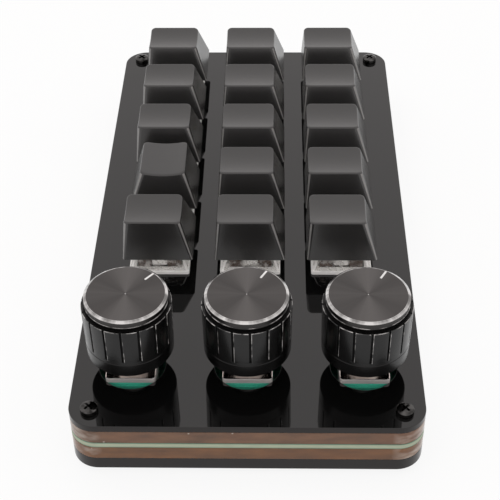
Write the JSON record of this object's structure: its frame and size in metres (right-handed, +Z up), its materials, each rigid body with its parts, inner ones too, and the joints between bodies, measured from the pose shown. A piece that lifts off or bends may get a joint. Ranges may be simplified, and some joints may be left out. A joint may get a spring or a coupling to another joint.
{
  "type": "macro keypad",
  "caption": "Desk macro keypad: rows of dished black keycaps on a layered acrylic case, with push-and-turn knobs at one end.",
  "frame": {"origin": "on the table under the centre of the case", "axes": "+Y along the case away from the knobs, +X across it to the right seen from the knob end, +Z up"},
  "size_m": [0.083, 0.16, 0.0398],
  "materials": {
    "black_acrylic": "polished",
    "clear_acrylic": "clear sheet with a warm edge",
    "green_board": "solder mask with a pale edge",
    "black_steel": "black oxide",
    "standoff_metal": "turned",
    "foot_rubber": "matte",
    "clear_plastic": "clear moulding",
    "contact_brass": "stamped",
    "spring_steel": "drawn wire",
    "chip_plastic": "matte",
    "socket_steel": "stamped",
    "green_plastic": "moulded",
    "cover_steel": "stamped",
    "dome_steel": "stamped",
    "keycap_plastic": "fine grain",
    "stem_plastic": "moulded",
    "rotor_plastic": "moulded",
    "shaft_metal": "turned",
    "knob_plastic": "satin moulding",
    "knob_aluminium": "black anodised, spun, with a bright chamfer"
  },
  "bodies": {
    "case": {"top_plate": "black_acrylic", "bottom_plate": "black_acrylic", "upper_spacer": "clear_acrylic", "lower_spacer": "clear_acrylic", "circuit_board": "green_board", "top_screws": "black_steel", "bottom_screws": "black_steel", "standoffs": "standoff_metal", "rubber_feet": "foot_rubber", "switch_lower_housings": "clear_plastic", "switch_upper_housings": "clear_plastic", "switch_contacts": "contact_brass", "switch_springs": "spring_steel", "controller_chip": "chip_plastic", "usb_port": "socket_steel", "encoder_bases": "green_plastic", "encoder_covers": "cover_steel", "encoder_push_domes": "dome_steel"},
    "key_r1c1": {"keycap_r1c1": "keycap_plastic", "stem_r1c1": "stem_plastic"},
    "key_r1c2": {"keycap_r1c2": "keycap_plastic", "stem_r1c2": "stem_plastic"},
    "key_r1c3": {"keycap_r1c3": "keycap_plastic", "stem_r1c3": "stem_plastic"},
    "key_r2c1": {"keycap_r2c1": "keycap_plastic", "stem_r2c1": "stem_plastic"},
    "key_r2c2": {"keycap_r2c2": "keycap_plastic", "stem_r2c2": "stem_plastic"},
    "key_r2c3": {"keycap_r2c3": "keycap_plastic", "stem_r2c3": "stem_plastic"},
    "key_r3c1": {"keycap_r3c1": "keycap_plastic", "stem_r3c1": "stem_plastic"},
    "key_r3c2": {"keycap_r3c2": "keycap_plastic", "stem_r3c2": "stem_plastic"},
    "key_r3c3": {"keycap_r3c3": "keycap_plastic", "stem_r3c3": "stem_plastic"},
    "key_r4c1": {"keycap_r4c1": "keycap_plastic", "stem_r4c1": "stem_plastic"},
    "key_r4c2": {"keycap_r4c2": "keycap_plastic", "stem_r4c2": "stem_plastic"},
    "key_r4c3": {"keycap_r4c3": "keycap_plastic", "stem_r4c3": "stem_plastic"},
    "key_r5c1": {"keycap_r5c1": "keycap_plastic", "stem_r5c1": "stem_plastic"},
    "key_r5c2": {"keycap_r5c2": "keycap_plastic", "stem_r5c2": "stem_plastic"},
    "key_r5c3": {"keycap_r5c3": "keycap_plastic", "stem_r5c3": "stem_plastic"},
    "rotor_1": {"encoder_rotor_1": "rotor_plastic"},
    "knob_1": {"encoder_shaft_1": "shaft_metal", "knob_body_1": "knob_plastic", "knob_cap_1": "knob_aluminium"},
    "rotor_2": {"encoder_rotor_2": "rotor_plastic"},
    "knob_2": {"encoder_shaft_2": "shaft_metal", "knob_body_2": "knob_plastic", "knob_cap_2": "knob_aluminium"},
    "rotor_3": {"encoder_rotor_3": "rotor_plastic"},
    "knob_3": {"encoder_shaft_3": "shaft_metal", "knob_body_3": "knob_plastic", "knob_cap_3": "knob_aluminium"}
  },
  "joints": [
    {"name": "key_press_r1c1", "type": "slide", "parent": "case", "child": "key_r1c1", "axis": [0, 0, -1], "range_m": [0, 0.004], "stiffness_N_per_m": 100, "springref_m": -0.003, "deforming": ["switch_springs"]},
    {"name": "key_press_r1c2", "type": "slide", "parent": "case", "child": "key_r1c2", "axis": [0, 0, -1], "range_m": [0, 0.004], "stiffness_N_per_m": 100, "springref_m": -0.003, "deforming": ["switch_springs"]},
    {"name": "key_press_r1c3", "type": "slide", "parent": "case", "child": "key_r1c3", "axis": [0, 0, -1], "range_m": [0, 0.004], "stiffness_N_per_m": 100, "springref_m": -0.003, "deforming": ["switch_springs"]},
    {"name": "key_press_r2c1", "type": "slide", "parent": "case", "child": "key_r2c1", "axis": [0, 0, -1], "range_m": [0, 0.004], "stiffness_N_per_m": 100, "springref_m": -0.003, "deforming": ["switch_springs"]},
    {"name": "key_press_r2c2", "type": "slide", "parent": "case", "child": "key_r2c2", "axis": [0, 0, -1], "range_m": [0, 0.004], "stiffness_N_per_m": 100, "springref_m": -0.003, "deforming": ["switch_springs"]},
    {"name": "key_press_r2c3", "type": "slide", "parent": "case", "child": "key_r2c3", "axis": [0, 0, -1], "range_m": [0, 0.004], "stiffness_N_per_m": 100, "springref_m": -0.003, "deforming": ["switch_springs"]},
    {"name": "key_press_r3c1", "type": "slide", "parent": "case", "child": "key_r3c1", "axis": [0, 0, -1], "range_m": [0, 0.004], "stiffness_N_per_m": 100, "springref_m": -0.003, "deforming": ["switch_springs"]},
    {"name": "key_press_r3c2", "type": "slide", "parent": "case", "child": "key_r3c2", "axis": [0, 0, -1], "range_m": [0, 0.004], "stiffness_N_per_m": 100, "springref_m": -0.003, "deforming": ["switch_springs"]},
    {"name": "key_press_r3c3", "type": "slide", "parent": "case", "child": "key_r3c3", "axis": [0, 0, -1], "range_m": [0, 0.004], "stiffness_N_per_m": 100, "springref_m": -0.003, "deforming": ["switch_springs"]},
    {"name": "key_press_r4c1", "type": "slide", "parent": "case", "child": "key_r4c1", "axis": [0, 0, -1], "range_m": [0, 0.004], "stiffness_N_per_m": 100, "springref_m": -0.003, "deforming": ["switch_springs"]},
    {"name": "key_press_r4c2", "type": "slide", "parent": "case", "child": "key_r4c2", "axis": [0, 0, -1], "range_m": [0, 0.004], "stiffness_N_per_m": 100, "springref_m": -0.003, "deforming": ["switch_springs"]},
    {"name": "key_press_r4c3", "type": "slide", "parent": "case", "child": "key_r4c3", "axis": [0, 0, -1], "range_m": [0, 0.004], "stiffness_N_per_m": 100, "springref_m": -0.003, "deforming": ["switch_springs"]},
    {"name": "key_press_r5c1", "type": "slide", "parent": "case", "child": "key_r5c1", "axis": [0, 0, -1], "range_m": [0, 0.004], "stiffness_N_per_m": 100, "springref_m": -0.003, "deforming": ["switch_springs"]},
    {"name": "key_press_r5c2", "type": "slide", "parent": "case", "child": "key_r5c2", "axis": [0, 0, -1], "range_m": [0, 0.004], "stiffness_N_per_m": 100, "springref_m": -0.003, "deforming": ["switch_springs"]},
    {"name": "key_press_r5c3", "type": "slide", "parent": "case", "child": "key_r5c3", "axis": [0, 0, -1], "range_m": [0, 0.004], "stiffness_N_per_m": 100, "springref_m": -0.003, "deforming": ["switch_springs"]},
    {"name": "knob_turn_1", "type": "hinge", "parent": "case", "child": "rotor_1", "pos_m": [-0.0277, -0.0602, 0], "axis": [0, 0, 1], "continuous": true},
    {"name": "knob_push_1", "type": "slide", "parent": "rotor_1", "child": "knob_1", "axis": [0, 0, -1], "range_m": [0, 0.0005], "stiffness_N_per_m": 800, "springref_m": -0.002, "deforming": ["encoder_push_domes"]},
    {"name": "knob_turn_2", "type": "hinge", "parent": "case", "child": "rotor_2", "pos_m": [0, -0.0602, 0], "axis": [0, 0, 1], "continuous": true},
    {"name": "knob_push_2", "type": "slide", "parent": "rotor_2", "child": "knob_2", "axis": [0, 0, -1], "range_m": [0, 0.0005], "stiffness_N_per_m": 800, "springref_m": -0.002, "deforming": ["encoder_push_domes"]},
    {"name": "knob_turn_3", "type": "hinge", "parent": "case", "child": "rotor_3", "pos_m": [0.0277, -0.0602, 0], "axis": [0, 0, 1], "continuous": true},
    {"name": "knob_push_3", "type": "slide", "parent": "rotor_3", "child": "knob_3", "axis": [0, 0, -1], "range_m": [0, 0.0005], "stiffness_N_per_m": 800, "springref_m": -0.002, "deforming": ["encoder_push_domes"]}
  ]
}
